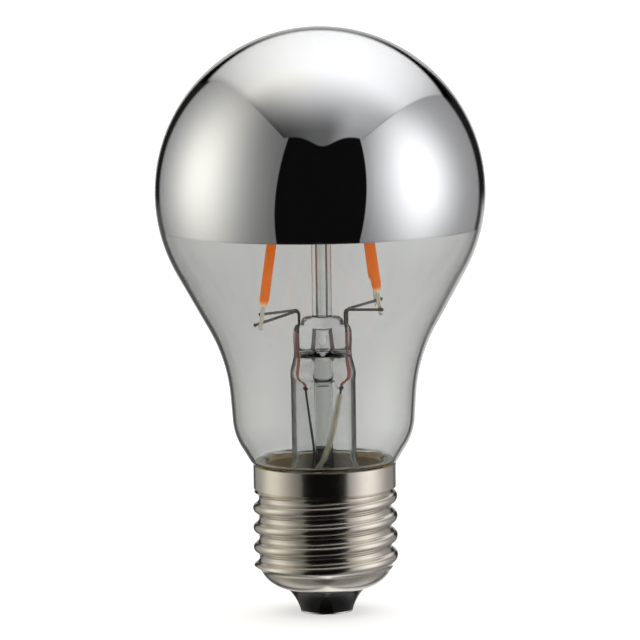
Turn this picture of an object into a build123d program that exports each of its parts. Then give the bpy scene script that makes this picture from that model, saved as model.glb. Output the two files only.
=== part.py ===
from build123d import *
import math
import os
from typing import NamedTuple

# Half-mirrored LED filament lamp with an Edison screw cap. Millimetres.
# The origin is the centre of the contact's flat face, and +Z runs up the lamp's axis to the mirrored crown.

# Glass bulb
LAMP_HEIGHT = 107.0
BULB_DIAMETER = 60.0
GLASS_WALL = 0.7
FLANK_ANGLE = 29.0
FLANK_EASE = 0.489
NECK_RISE = 11.7
NECK_RADIUS = 16.85
NECK_TAPER = 4.0
SHOULDER_RISE = 5.6
SHOULDER_ANGLE = 31.0
SHOULDER_EASE = 0.42
LIP_GAP = 0.2
LIP_FILLET = 1.4
SEAT_FILLET = 0.3
TUBE_WALL = 1.0
BORE_FILLET = 1.0

# Mirror coat on the inside of the bulb
MIRROR_DROP = 6.45
MIRROR_COAT = 0.15
COAT_GAP = 0.02

# Screw cap
CAP_HEIGHT = 27.3
COLLAR_DIAMETER = 26.05
COLLAR_LEVEL = 23.0
COLLAR_BEVEL = 0.7
SHEET = 0.3
THREAD_DIAMETER = 26.4
THREAD_ROOT = 24.24
THREAD_PITCH = 3.629
THREAD_PHASE = 6.6
THREAD_LAND = 0.45
THREAD_BURY = 0.6
THREAD_TURNS = 6.0
FADE_LOW = 1.7
FADE_HIGH = 2.6
FADE_MARGIN = 0.3
TAIL_RISE = 8.2
TAIL_RADIUS = 7.4
TAIL_LEVEL = 4.45
TAIL_BULGE = 0.78

# Insulator, contact and cement
INSULATOR_FIT = 0.05
INSULATOR_DISH = 2.2
INSULATOR_FLARE = 0.35
RIM_WIDTH = 1.6
RIM_LEVEL = 6.9
CONTACT_RADIUS = 4.8
CONTACT_THICKNESS = 0.35
CONTACT_ROUND = 0.15
EYELET_RADIUS = 1.5
EYELET_BORE = 1.0
EYELET_RISE = 0.5
SOLDER_DIMPLE = 0.1
SOLDER_CROWN = 0.4
CEMENT_DROP = 0.1
CEMENT_LIFT = 0.4
CEMENT_SAG = 0.25

# Stem
NECK_DEPTH = 3.6
NECK_TUBE_GAP = 0.3
STEM_HEIGHT = 30.8
STEM_RADIUS = 5.9
STEM_WALL = 0.9
FLARE_FILLET = 4.2
FLARE_RIM = 1.2
PRESS_LENGTH = 11.5
PRESS_HALF_WIDTH = 5.3
PRESS_HALF_DEPTH = 2.7
PRESS_CAVITY = 3.9
CAVITY_WALL = 0.7
BUTTON_HALF_WIDTH = 3.85
BUTTON_RISE = 1.5
BUTTON_FILLET = 1.2
BLOW_HOLE_RADIUS = 1.4
CHAMBER_RADIUS = 2.0
CHAMBER_NECK = 1.6
CHAMBER_HEIGHT = 5.2
CHAMBER_TAPER = 1.5
EXHAUST_RADIUS = 1.65
EXHAUST_BORE = 1.35
EXHAUST_MOUTH = 2.3
EXHAUST_MOUTH_HEIGHT = 1.6
EXHAUST_TIP = 2.4
EXHAUST_DROP = 1.0
POST_RADIUS = 1.8
POST_BORE = 0.72
POST_SHORTFALL = 0.6
BEAD_RADIUS = 2.2
BEAD_HEIGHT = 3.8
BEAD_SLOPE = 0.8

# Filament strips and wires
STRIP_LENGTH = 30.0
STRIP_RADIUS = 0.87
STRIP_END_RADIUS = 0.45
STRIP_END_TAPER = 1.7
TAB_LENGTH = 4.2
TAB_WIDTH = 0.8
TAB_THICKNESS = 0.25
TAB_OVERHANG = 1.1
UPPER_X = 5.7
UPPER_Y = 3.9
WIRE_RADIUS = 0.25
WIRE_TIP = 1.0
TIP_BEAD_RADIUS = 0.33
WELD_GAP = 0.09
ARM_RISE = 1.15
ARM_BEND = 0.8
SEAL_OFFSET_Y = 0.55
SEAL_SPLICE = 2.9
SEAL_SPREAD = 0.28
SEAL_EXIT = 0.8
LINK_HALF_SPAN = 2.7
LINK_BEND = 0.6
LINK_LOW = 0.8
LINK_HIGH = 2.2
LEAD_RADIUS = 0.2
KNOT_RADIUS = 0.45
KNOT_GAP = 0.2
KNOT_DROP = 12.3
KNOT_Y = -0.7
KNOT_X = 3.2
SLEEVE_RADIUS = 0.55
SLEEVE_GAP = 0.06
SLEEVE_START = 1.4
SLEEVE_END = 1.2

# Driver board and its parts
BOARD_RADIUS = 9.9
BOARD_THICKNESS = 1.0
BOARD_HOLE = 0.6
CAPACITOR_RADIUS = 3.15
CAPACITOR_HEIGHT = 8.5
CAPACITOR_Y = 5.2
CAPACITOR_FILLET = 0.5
CAPACITOR_GROOVE = 0.25
CAPACITOR_GROOVE_LEVEL = 1.4
BRIDGE_SIZE = (3.9, 4.7, 2.3)
BRIDGE_PLACE = (-5.6, -0.6)
CHIP_SIZE = (4.9, 3.9, 1.45)
CHIP_PLACE = (5.4, -0.8)
CHIP_LEGS = 4
BRIDGE_LEGS = 2
LEG_SIZE = (0.4, 0.9, 0.5)
LEG_PITCH = 1.27
BRIDGE_LEG_PITCH = 2.5
STAND_OFF = 0.15
FUSE_RADIUS = 1.2
FUSE_LENGTH = 6.0
FUSE_Y = -4.6
FUSE_LEAD_REACH = 1.2
FUSE_CLEARANCE = 0.3
FUSE_BEND = 0.6
CHIP_RESISTOR_SIZE = (3.2, 1.6, 0.6)
CHIP_RESISTOR_PLACES = ((1.8, -7.4), (6.3, -4.95))
NEUTRAL_ANGLE = 60.0
NEUTRAL_PAD_RADIUS = 8.5
NEUTRAL_RISE = 1.4
NEUTRAL_CLIMB = 2.3
NEUTRAL_TIP = 1.4
NEUTRAL_BEND = 0.6
NEUTRAL_GAP = 0.05


class Corner(NamedTuple):
    """One filament's place: where its wire is sealed, and where that wire crosses the lower tab."""

    seal_x: float
    face: int
    tip_x: float
    tip_y: float
    tip_rise: float

    @property
    def side(self):
        return math.copysign(1, self.seal_x)

    @property
    def link_rise(self):
        return LINK_LOW if self.side == self.face else LINK_HIGH


CORNERS = {
    "front_left": Corner(-4.2, -1, -11.0, 7.2, -0.4),
    "front_right": Corner(4.15, -1, 10.4, 7.2, 1.9),
    "back_left": Corner(-4.2, 1, -11.0, 7.2, -0.4),
    "back_right": Corner(4.55, 1, 9.95, 7.2, 1.9),
}

# Worked out from the sizes above
BULB_RADIUS = BULB_DIAMETER / 2
BULB_CENTRE = LAMP_HEIGHT - BULB_RADIUS
COLLAR_RADIUS = COLLAR_DIAMETER / 2
COLLAR_BORE = COLLAR_RADIUS - SHEET
ROOT_RADIUS = THREAD_ROOT / 2
CREST_RADIUS = THREAD_DIAMETER / 2
SEAL_LEVEL = CAP_HEIGHT - NECK_DEPTH
TUBE_RADIUS = ROOT_RADIUS - SHEET - NECK_TUBE_GAP
TUBE_BORE = TUBE_RADIUS - TUBE_WALL
PRESS_TOP = SEAL_LEVEL + STEM_HEIGHT
PRESS_BASE = PRESS_TOP - PRESS_LENGTH
CAVITY_TOP = PRESS_BASE + PRESS_CAVITY
SPLICE_LEVEL = PRESS_TOP - SEAL_SPLICE
KNOT_LEVEL = PRESS_TOP - KNOT_DROP
TAB_REACH = TAB_LENGTH - TAB_OVERHANG
STRIP_SPAN = STRIP_LENGTH + 2 * TAB_REACH
POST_TOP = PRESS_TOP + STRIP_SPAN - POST_SHORTFALL
WELD_OFFSET = WIRE_RADIUS + TAB_THICKNESS / 2 + WELD_GAP
BOARD_TOP = RIM_LEVEL + BOARD_THICKNESS


def face_of(*lines):
    """A planar face bounded by lines that close on each other."""
    return make_face([edge for line in lines for edge in line.edges()])


def turned(*lines):
    """A solid turned about the lamp's axis from an outline of (radius, height) lines."""
    return revolve(Plane.XZ * face_of(*lines), axis=Axis.Z)


def inset_corner(before, corner, after, amount):
    """A corner of a downward outline, moved towards the axis so that both sides keep this wall."""
    normals = []
    for start, end in ((before, corner), (corner, after)):
        run = (Vector(*end) - Vector(*start)).normalized()
        normals.append(Vector(run.Y, -run.X))
    total = normals[0] + normals[1]
    shift = total * (amount / (1 + normals[0].dot(normals[1])))
    return (corner[0] + shift.X, corner[1] + shift.Y)


def wire_path(points, bend):
    """Straight runs joined by tangent arcs."""
    return FilletPolyline(*points, radius=bend)


def swept(path, section):
    """A section swept along a path from its start."""
    return sweep(Plane(path @ 0, z_dir=path % 0) * section, path=path)


def wire(points, bend, radius=WIRE_RADIUS):
    """A round wire along straight runs joined by tangent arcs."""
    return swept(wire_path(points, bend), Circle(radius))


def ease(points, share=0.4, largest=12.0):
    """Arc radii for a hand-laid lead: as large as each pair of runs leaves room for."""
    radii = []
    for before, corner, after in zip(points, points[1:], points[2:]):
        first = Vector(*corner) - Vector(*before)
        second = Vector(*after) - Vector(*corner)
        half_turn = math.radians(first.get_angle(second)) / 2
        radii.append(min(largest, share * min(first.length, second.length) / math.tan(half_turn)))
    return radii


# Glass bulb and mirror
def bulb_corners():
    """The outer outline's corners below the globe: tangent point, flank and neck, neck and shoulder, lip."""
    flank = math.radians(FLANK_ANGLE)
    start = (BULB_RADIUS * math.cos(flank), BULB_CENTRE - BULB_RADIUS * math.sin(flank))
    neck_level = CAP_HEIGHT + NECK_RISE
    neck_slope = math.tan(math.radians(NECK_TAPER))
    flank_slope = math.tan(flank)
    flank_z = (NECK_RADIUS - start[0] + flank_slope * start[1] - neck_slope * neck_level) / (
        flank_slope - neck_slope
    )
    flank_corner = (start[0] - flank_slope * (start[1] - flank_z), flank_z)
    shoulder_z = CAP_HEIGHT + SHOULDER_RISE
    shoulder_corner = (NECK_RADIUS - neck_slope * (neck_level - shoulder_z), shoulder_z)
    lip_z = CAP_HEIGHT + LIP_GAP
    lip_r = shoulder_corner[0] - math.tan(math.radians(SHOULDER_ANGLE)) * (shoulder_z - lip_z)
    return start, flank_corner, shoulder_corner, (lip_r, lip_z)


def eased(before, corner, after, share):
    """The radius that rounds a corner over a share of its shorter side."""
    first = Vector(*corner) - Vector(*before)
    second = Vector(*after) - Vector(*corner)
    half_turn = math.radians(first.get_angle(second)) / 2
    return share * min(first.length, second.length) / math.tan(half_turn)


def glass_envelope():
    start, flank, shoulder, lip = bulb_corners()
    seat = (TUBE_RADIUS, lip[1])
    flank_round = eased(start, flank, shoulder, FLANK_EASE)
    shoulder_round = eased(flank, shoulder, lip, SHOULDER_EASE)
    outside = FilletPolyline(
        start,
        flank,
        shoulder,
        lip,
        seat,
        (TUBE_RADIUS, SEAL_LEVEL),
        radius=[flank_round, shoulder_round, LIP_FILLET, SEAT_FILLET],
    )
    scale = (BULB_RADIUS - GLASS_WALL) / BULB_RADIUS
    inner_start = (start[0] * scale, BULB_CENTRE + (start[1] - BULB_CENTRE) * scale)
    inside = FilletPolyline(
        inner_start,
        inset_corner(start, flank, shoulder, GLASS_WALL),
        inset_corner(flank, shoulder, lip, GLASS_WALL),
        inset_corner(shoulder, lip, seat, GLASS_WALL),
        (TUBE_BORE, lip[1] + GLASS_WALL),
        (TUBE_BORE, SEAL_LEVEL),
        radius=[flank_round + GLASS_WALL, shoulder_round - GLASS_WALL, LIP_FILLET - GLASS_WALL, BORE_FILLET],
    )
    arc_size = 90 + FLANK_ANGLE
    return turned(
        CenterArc((0, BULB_CENTRE), BULB_RADIUS, -FLANK_ANGLE, arc_size),
        CenterArc((0, BULB_CENTRE), BULB_RADIUS - GLASS_WALL, -FLANK_ANGLE, arc_size),
        Line((0, LAMP_HEIGHT), (0, LAMP_HEIGHT - GLASS_WALL)),
        outside,
        inside,
        Line((TUBE_RADIUS, SEAL_LEVEL), (TUBE_BORE, SEAL_LEVEL)),
    )


def mirror_crown():
    outer = BULB_RADIUS - GLASS_WALL - COAT_GAP
    inner = outer - MIRROR_COAT
    low = -math.degrees(math.asin(MIRROR_DROP / outer))
    high = -math.degrees(math.asin(MIRROR_DROP / inner))
    edge_z = BULB_CENTRE - MIRROR_DROP
    return turned(
        CenterArc((0, BULB_CENTRE), outer, low, 90 - low),
        CenterArc((0, BULB_CENTRE), inner, high, 90 - high),
        Line((0, BULB_CENTRE + outer), (0, BULB_CENTRE + inner)),
        Line(
            (math.sqrt(outer**2 - MIRROR_DROP**2), edge_z),
            (math.sqrt(inner**2 - MIRROR_DROP**2), edge_z),
        ),
    )


# Screw cap: a rolled sheet, so its inside follows its outside at the sheet's thickness
def shell_outline(inset):
    """The cap's turned outline without its thread, from the rim down to the insulator's edge."""
    rim = (COLLAR_RADIUS, CAP_HEIGHT)
    bevel_top = (COLLAR_RADIUS, COLLAR_LEVEL)
    bevel_low = (ROOT_RADIUS, COLLAR_LEVEL - COLLAR_BEVEL)
    tail_top = (ROOT_RADIUS, TAIL_RISE)
    tail_low = (TAIL_RADIUS, TAIL_LEVEL + inset)
    wall = Polyline(
        (rim[0] - inset, rim[1]),
        inset_corner(rim, bevel_top, bevel_low, inset),
        inset_corner(bevel_top, bevel_low, tail_top, inset),
        (tail_top[0] - inset, tail_top[1]),
    )
    return wall, SagittaArc(wall @ 1, tail_low, TAIL_BULGE)


def thread_ridge(inset):
    """The rolled thread: a crest between rounded flanks, swept along a helix and faded out at both ends."""
    depth = CREST_RADIUS - ROOT_RADIUS
    half_pitch = THREAD_PITCH / 2
    roll = (half_pitch**2 + depth**2) / (4 * depth)
    crest_roll = roll - inset
    root_roll = roll + inset
    crest = CREST_RADIUS - inset
    crest_centre = CREST_RADIUS - roll
    root_centre = ROOT_RADIUS + roll
    share = crest_roll / (crest_roll + root_roll)
    turn = (crest_centre + (root_centre - crest_centre) * share, half_pitch * share)
    foot_z = half_pitch - THREAD_LAND / 2
    foot = (root_centre - math.sqrt(root_roll**2 - (half_pitch - foot_z) ** 2), foot_z)
    base = ROOT_RADIUS - inset - THREAD_BURY
    upper = RadiusArc(turn, foot, root_roll)
    lower = RadiusArc((foot[0], -foot[1]), (turn[0], -turn[1]), root_roll)
    section = face_of(
        ThreePointArc((turn[0], -turn[1]), (crest, 0), turn),
        upper,
        Polyline(foot, (base, foot_z), (base, -foot_z), (foot[0], -foot_z)),
        lower,
    )
    start = THREAD_PHASE - THREAD_PITCH
    path = Helix(THREAD_PITCH, THREAD_PITCH * THREAD_TURNS, ROOT_RADIUS - inset, center=(0, 0, start))
    across = Plane((0, 0, start), x_dir=(1, 0, 0), z_dir=(0, -1, 0))
    ridge = sweep(across * section, path=path, is_frenet=True)
    low = TAIL_RISE - FADE_LOW / 2
    high = COLLAR_LEVEL - COLLAR_BEVEL - FADE_HIGH / 4
    limit = Polyline(
        (0, low),
        (base - FADE_MARGIN, low),
        (crest + FADE_MARGIN, low + FADE_LOW),
        (crest + FADE_MARGIN, high),
        (base - FADE_MARGIN, high + FADE_HIGH),
        (0, high + FADE_HIGH),
        close=True,
    )
    return ridge & turned(limit)


def cap_filled(inset):
    """The cap with its thread as a filled form, set in from its outside by an amount."""
    wall, tail = shell_outline(inset)
    top = wall @ 0
    bottom = tail @ 1
    axis_side = Polyline((bottom.X, bottom.Y), (0, bottom.Y), (0, top.Y), (top.X, top.Y))
    return turned(wall, tail, axis_side) + thread_ridge(inset)


def cap_shell():
    mouth = Cylinder(TAIL_RADIUS, SHEET, align=(Align.CENTER, Align.CENTER, Align.MIN))
    return cap_filled(0) - cap_filled(SHEET) - Pos(0, 0, TAIL_LEVEL) * mouth


def cap_insulator():
    inset = SHEET + INSULATOR_FIT
    tail = shell_outline(inset)[1].edge()
    rim_out = (tail.intersect(Axis((0, RIM_LEVEL), (1, 0))).vertices()[0].X, RIM_LEVEL)
    throat = (TAIL_RADIUS - INSULATOR_FIT, TAIL_LEVEL + inset)
    outer_edge = (TAIL_RADIUS - INSULATOR_FIT, TAIL_LEVEL)
    seat = (CONTACT_RADIUS, CONTACT_THICKNESS)
    rim_in = (rim_out[0] - RIM_WIDTH, RIM_LEVEL)
    hole = EYELET_RADIUS + INSULATOR_FIT
    dish_edge = (throat[0] - INSULATOR_DISH / 2, throat[1] + INSULATOR_DISH / 2)
    dish = (hole, CONTACT_THICKNESS + INSULATOR_DISH)
    inside_tail = SagittaArc(rim_out, throat, TAIL_BULGE / 2)
    return turned(
        inside_tail,
        Line(throat, outer_edge),
        SagittaArc(outer_edge, seat, -INSULATOR_FLARE),
        Polyline(seat, (hole, CONTACT_THICKNESS), dish, dish_edge, rim_in, rim_out),
    )


def centre_contact():
    top = CONTACT_THICKNESS + INSULATOR_DISH + EYELET_RISE
    rim = FilletPolyline(
        (EYELET_BORE, 0),
        (CONTACT_RADIUS, 0),
        (CONTACT_RADIUS, CONTACT_THICKNESS),
        radius=[CONTACT_ROUND],
    )
    eyelet = Polyline(
        (CONTACT_RADIUS, CONTACT_THICKNESS),
        (EYELET_RADIUS, CONTACT_THICKNESS),
        (EYELET_RADIUS, top),
        (EYELET_BORE, top),
        (EYELET_BORE, 0),
    )
    return turned(rim, eyelet)


def solder_top():
    return CONTACT_THICKNESS + INSULATOR_DISH + EYELET_RISE


def contact_solder():
    top = solder_top()
    plug = turned(
        Polyline(
            (0, SOLDER_DIMPLE),
            (EYELET_BORE, 0),
            (EYELET_BORE, top),
            (0, top + SOLDER_CROWN),
            close=True,
        )
    )
    return plug - live_lead()


def base_cement():
    top = CAP_HEIGHT - CEMENT_DROP
    low = COLLAR_LEVEL + CEMENT_LIFT
    mid = (TUBE_RADIUS + COLLAR_BORE) / 2
    return turned(
        ThreePointArc((TUBE_RADIUS, top), (mid, top - CEMENT_SAG), (COLLAR_BORE, top)),
        Polyline((COLLAR_BORE, top), (COLLAR_BORE, low), (TUBE_RADIUS, low), (TUBE_RADIUS, top)),
    )


# Stem
def seal_place(corner):
    return (corner.seal_x, corner.face * SEAL_OFFSET_Y)


def oval(half_width, half_depth, level):
    return Pos(0, 0, level) * Ellipse(half_width, half_depth)


def stem_flare():
    rim_top = SEAL_LEVEL + FLARE_RIM
    under = rim_top - STEM_WALL
    bore = STEM_RADIUS - STEM_WALL
    tube = turned(
        FilletPolyline(
            (STEM_RADIUS, PRESS_BASE), (STEM_RADIUS, rim_top), (TUBE_BORE, rim_top), radius=FLARE_FILLET
        ),
        Line((TUBE_BORE, rim_top), (TUBE_BORE, under)),
        FilletPolyline(
            (TUBE_BORE, under), (bore, under), (bore, PRESS_BASE), radius=FLARE_FILLET + STEM_WALL
        ),
        Line((bore, PRESS_BASE), (STEM_RADIUS, PRESS_BASE)),
    )
    lobe_top = PRESS_TOP - BUTTON_RISE
    press = loft(
        [
            oval(STEM_RADIUS, STEM_RADIUS, PRESS_BASE),
            oval(PRESS_HALF_WIDTH, PRESS_HALF_DEPTH + STEM_WALL, CAVITY_TOP + STEM_WALL / 2),
            oval(PRESS_HALF_WIDTH, PRESS_HALF_DEPTH, CAVITY_TOP + CHAMBER_HEIGHT / 2),
            oval(PRESS_HALF_WIDTH, PRESS_HALF_DEPTH, lobe_top - BUTTON_FILLET),
            oval(PRESS_HALF_WIDTH - BUTTON_FILLET / 2, PRESS_HALF_DEPTH - BUTTON_FILLET / 2, lobe_top),
        ]
    )
    hollow = loft(
        [
            oval(bore, bore, PRESS_BASE),
            oval(PRESS_HALF_WIDTH - CAVITY_WALL, PRESS_HALF_DEPTH, CAVITY_TOP),
        ]
    )
    chamber_top = CAVITY_TOP + CHAMBER_HEIGHT
    button = extrude(oval(BUTTON_HALF_WIDTH, PRESS_HALF_DEPTH, chamber_top), PRESS_TOP - chamber_top)
    button = fillet(button.edges().group_by(Axis.Z)[-1], BUTTON_FILLET)
    chamber = turned(
        Polyline(
            (0, CAVITY_TOP),
            (EXHAUST_BORE, CAVITY_TOP),
            (CHAMBER_RADIUS, CAVITY_TOP + CHAMBER_TAPER),
            (CHAMBER_NECK, chamber_top),
            (0, chamber_top),
            close=True,
        )
    )
    hole_level = CAVITY_TOP + CHAMBER_TAPER + (CHAMBER_HEIGHT - CHAMBER_TAPER) / 2
    hole = Pos(0, 0, hole_level) * Rot(-90, 0, 0) * Cylinder(
        BLOW_HOLE_RADIUS, STEM_RADIUS, align=(Align.CENTER, Align.CENTER, Align.MIN)
    )
    body = tube + (press - hollow) + button - chamber - hole
    for corner in CORNERS.values():
        x, y = seal_place(corner)
        height = PRESS_TOP - PRESS_BASE
        body -= Pos(x, y, PRESS_BASE) * Cylinder(
            WIRE_RADIUS, height, align=(Align.CENTER, Align.CENTER, Align.MIN)
        )
    return body


def exhaust_tube():
    tip = SEAL_LEVEL - EXHAUST_DROP
    shoulder = tip + EXHAUST_TIP
    tip_round = (EXHAUST_RADIUS**2 + EXHAUST_TIP**2) / (2 * EXHAUST_TIP)
    tip_edge = math.degrees(math.atan2(shoulder - tip - tip_round, EXHAUST_RADIUS))
    mouth = CAVITY_TOP - EXHAUST_MOUTH_HEIGHT
    return turned(
        Polyline(
            (EXHAUST_BORE, CAVITY_TOP),
            (EXHAUST_MOUTH, CAVITY_TOP),
            (EXHAUST_RADIUS, mouth),
            (EXHAUST_RADIUS, shoulder),
        ),
        CenterArc((0, tip + tip_round), tip_round, -90, 90 + tip_edge),
        Polyline(
            (0, tip),
            (0, shoulder),
            (EXHAUST_BORE, shoulder + EXHAUST_TIP / 2),
            (EXHAUST_BORE, CAVITY_TOP),
        ),
    )


def centre_post():
    bead_low = POST_TOP - BEAD_SLOPE
    bead_top = POST_TOP + BEAD_HEIGHT - BEAD_SLOPE
    post = turned(
        Polyline(
            (0, bead_low),
            (POST_BORE, bead_low - POST_BORE),
            (POST_BORE, PRESS_TOP),
            (POST_RADIUS, PRESS_TOP),
            (POST_RADIUS, bead_low),
        ),
        FilletPolyline(
            (POST_RADIUS, bead_low),
            (BEAD_RADIUS, POST_TOP),
            (BEAD_RADIUS, bead_top),
            (0, bead_top),
            radius=[BEAD_SLOPE / 2, BEAD_RADIUS * 0.6],
        ),
        Line((0, bead_top), (0, bead_low)),
    )
    for name in TOP_LINKS:
        post -= top_link(name)
    return post


# Filament strips, tabs and their wires
def lower_cross(corner):
    """Where a strip's axis passes its support wire."""
    return Vector(corner.tip_x, corner.face * corner.tip_y, PRESS_TOP + corner.tip_rise)


def upper_cross(corner):
    """Where a strip's axis passes its upper wire: one span away, drawn in to the upper spacing."""
    low = lower_cross(corner)
    flat = Vector(corner.side * UPPER_X, corner.face * UPPER_Y, low.Z) - low
    return low + flat + Vector(0, 0, math.sqrt(STRIP_SPAN**2 - flat.length**2))


def strip_direction(corner):
    return (upper_cross(corner) - lower_cross(corner)).normalized()


def arm_corner(corner):
    x, y = seal_place(corner)
    return Vector(x, y, PRESS_TOP + ARM_RISE)


def weld_normal(along_strip, along_wire):
    """The direction from a tab to the wire that is welded flat across it."""
    return along_strip.cross(along_wire).normalized()


def filament(corner):
    direction = strip_direction(corner)
    start = lower_cross(corner) + direction * TAB_REACH
    taper_out = (STRIP_RADIUS, STRIP_END_TAPER)
    taper_far = (STRIP_RADIUS, STRIP_LENGTH - STRIP_END_TAPER)
    near = TangentArc([taper_out, (STRIP_END_RADIUS, 0)], tangent=(0, -1))
    far = TangentArc([taper_far, (STRIP_END_RADIUS, STRIP_LENGTH)], tangent=(0, 1))
    strip = turned(
        near,
        far,
        Line(taper_out, taper_far),
        Polyline((STRIP_END_RADIUS, STRIP_LENGTH), (0, STRIP_LENGTH), (0, 0), (STRIP_END_RADIUS, 0)),
    )
    return Plane(start, z_dir=direction) * strip


def tab(cross, out, along_wire):
    """A flat end tab: its weld crosses the wire, and out points from the strip towards the tab's free end."""
    normal = weld_normal(out, along_wire)
    centre = cross + out * (TAB_OVERHANG - TAB_LENGTH / 2)
    return Plane(centre, x_dir=normal.cross(out), z_dir=out) * Box(TAB_WIDTH, TAB_THICKNESS, TAB_LENGTH)


def arm_heading(corner):
    return (lower_cross(corner) - arm_corner(corner)).normalized()


def lower_tab(corner):
    return tab(lower_cross(corner), strip_direction(corner) * -1, arm_heading(corner))


def upper_tab(corner):
    return tab(upper_cross(corner), strip_direction(corner), link_heading(corner))


def arm(corner):
    x, y = seal_place(corner)
    heading = arm_heading(corner)
    weld = lower_cross(corner) + weld_normal(strip_direction(corner) * -1, heading) * WELD_OFFSET
    tip = weld + heading * WIRE_TIP
    bead = Pos(*tip) * Sphere(TIP_BEAD_RADIUS)
    return wire([(x, y, SPLICE_LEVEL), arm_corner(corner), tip], ARM_BEND) + bead


def seal_wire(corner):
    x, y = seal_place(corner)
    low = KNOT_LEVEL + KNOT_RADIUS + KNOT_GAP
    knot = (corner.side * KNOT_X, KNOT_Y + corner.face * SEAL_SPREAD, low)
    return wire([(x, y, SPLICE_LEVEL), (x, y, PRESS_BASE + SEAL_EXIT), knot], ARM_BEND)


TOP_LINKS = {
    "top_link_a": ("front_left", "back_right"),
    "top_link_b": ("back_left", "front_right"),
}


def link_corner(corner):
    """Where a top link leaves the post's bead on its way to a strip."""
    cross = upper_cross(corner)
    reach = LINK_HALF_SPAN / math.hypot(cross.X, cross.Y)
    return Vector(cross.X * reach, cross.Y * reach, POST_TOP + corner.link_rise)


def link_heading(corner):
    return (upper_cross(corner) - link_corner(corner)).normalized()


def link_end(corner):
    """A top link's last run, laid beside the tab that it is welded to: its tip and its bend."""
    heading = link_heading(corner)
    beside = weld_normal(strip_direction(corner), heading) * WELD_OFFSET
    return upper_cross(corner) + beside + heading * WIRE_TIP, link_corner(corner) + beside


def top_link(name):
    near, far = (link_end(CORNERS[place]) for place in TOP_LINKS[name])
    return wire([near[0], near[1], far[1], far[0]], LINK_BEND)


# Leads from the press down to the driver board, laid by hand
LEFT_LEAD = [
    (-KNOT_X, KNOT_Y, KNOT_LEVEL),
    (-1.75, -1.6, 29.5),
    (-2.7, -1.0, 23.5),
    (-4.6, 1.4, 17.0),
    (-5.6, 4.2, 12.0),
    (-5.6, 4.2, BOARD_TOP),
]
RIGHT_LEAD = [
    (KNOT_X, KNOT_Y, KNOT_LEVEL),
    (1.5, -2.9, 33.2),
    (0.4, -3.4, 29.6),
    (-1.3, -3.6, 26.6),
    (-2.3, -3.6, 23.0),
    (-4.3, -5.4, 16.5),
    (-4.4, -6.6, 11.5),
    (-4.4, -6.6, BOARD_TOP),
]


def outer_lead(points):
    return wire(points, ease(points), LEAD_RADIUS) + Pos(*points[0]) * Sphere(KNOT_RADIUS)


def lead_sleeve():
    ends = []
    for end, inner, amount in ((0, 1, SLEEVE_START), (-1, -2, SLEEVE_END)):
        point = Vector(*RIGHT_LEAD[end])
        ends.append(point + (Vector(*RIGHT_LEAD[inner]) - point).normalized() * amount)
    points = [ends[0], *RIGHT_LEAD[1:-1], ends[1]]
    path = wire_path(points, ease(RIGHT_LEAD))
    return swept(path, Circle(SLEEVE_RADIUS) - Circle(LEAD_RADIUS + SLEEVE_GAP))


# Driver board and its parts
def driver_board():
    board = Cylinder(BOARD_RADIUS, BOARD_THICKNESS, align=(Align.CENTER, Align.CENTER, Align.MIN))
    hole = Cylinder(BOARD_HOLE, BOARD_THICKNESS, align=(Align.CENTER, Align.CENTER, Align.MIN))
    return Pos(0, 0, RIM_LEVEL) * (board - hole)


def packaged_chip(size, place, legs, pitch):
    """A moulded body on bent legs along its two long sides."""
    width, depth, height = size
    body = Pos(0, 0, STAND_OFF) * Box(width, depth, height, align=(Align.CENTER, Align.CENTER, Align.MIN))
    body = chamfer(body.edges().group_by(Axis.Z)[-1], STAND_OFF)
    leg_width, leg_reach, leg_height = LEG_SIZE
    for index in range(legs):
        x = (index - (legs - 1) / 2) * pitch
        for side in (-1, 1):
            leg = Box(leg_width, leg_reach, leg_height, align=(Align.CENTER, Align.CENTER, Align.MIN))
            body += Pos(x, side * (depth / 2 + leg_reach / 4), 0) * leg
    return Pos(place[0], place[1], BOARD_TOP) * body


def filter_capacitor():
    can = turned(
        FilletPolyline(
            (0, 0),
            (CAPACITOR_RADIUS, 0),
            (CAPACITOR_RADIUS, CAPACITOR_GROOVE_LEVEL - CAPACITOR_GROOVE),
            (CAPACITOR_RADIUS - CAPACITOR_GROOVE, CAPACITOR_GROOVE_LEVEL),
            (CAPACITOR_RADIUS, CAPACITOR_GROOVE_LEVEL + CAPACITOR_GROOVE),
            (CAPACITOR_RADIUS, CAPACITOR_HEIGHT),
            (0, CAPACITOR_HEIGHT),
            radius=[CAPACITOR_FILLET, 0, 0, 0, CAPACITOR_FILLET],
        ),
        Line((0, CAPACITOR_HEIGHT), (0, 0)),
    )
    return Pos(0, CAPACITOR_Y, BOARD_TOP) * can


def fuse_resistor():
    level = BOARD_TOP + FUSE_RADIUS + FUSE_CLEARANCE
    body = Pos(0, FUSE_Y, level) * Rot(0, 90, 0) * Cylinder(FUSE_RADIUS, FUSE_LENGTH)
    body = fillet(body.edges(), FUSE_RADIUS / 3)
    reach = FUSE_LENGTH / 2 + FUSE_LEAD_REACH
    lead = wire(
        [(-reach, FUSE_Y, BOARD_TOP), (-reach, FUSE_Y, level), (0, FUSE_Y, level)], FUSE_BEND
    )
    return body + lead + mirror(lead, Plane.YZ)


def sense_resistors():
    solids = []
    for place in CHIP_RESISTOR_PLACES:
        block = Box(*CHIP_RESISTOR_SIZE, align=(Align.CENTER, Align.CENTER, Align.MIN))
        solids.append(Pos(place[0], place[1], BOARD_TOP) * block)
    return Compound(children=solids)


def live_lead():
    low = solder_top() - EYELET_RISE
    return Pos(0, 0, low) * Cylinder(
        WIRE_RADIUS, BOARD_TOP + FUSE_CLEARANCE - low, align=(Align.CENTER, Align.CENTER, Align.MIN)
    )


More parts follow.
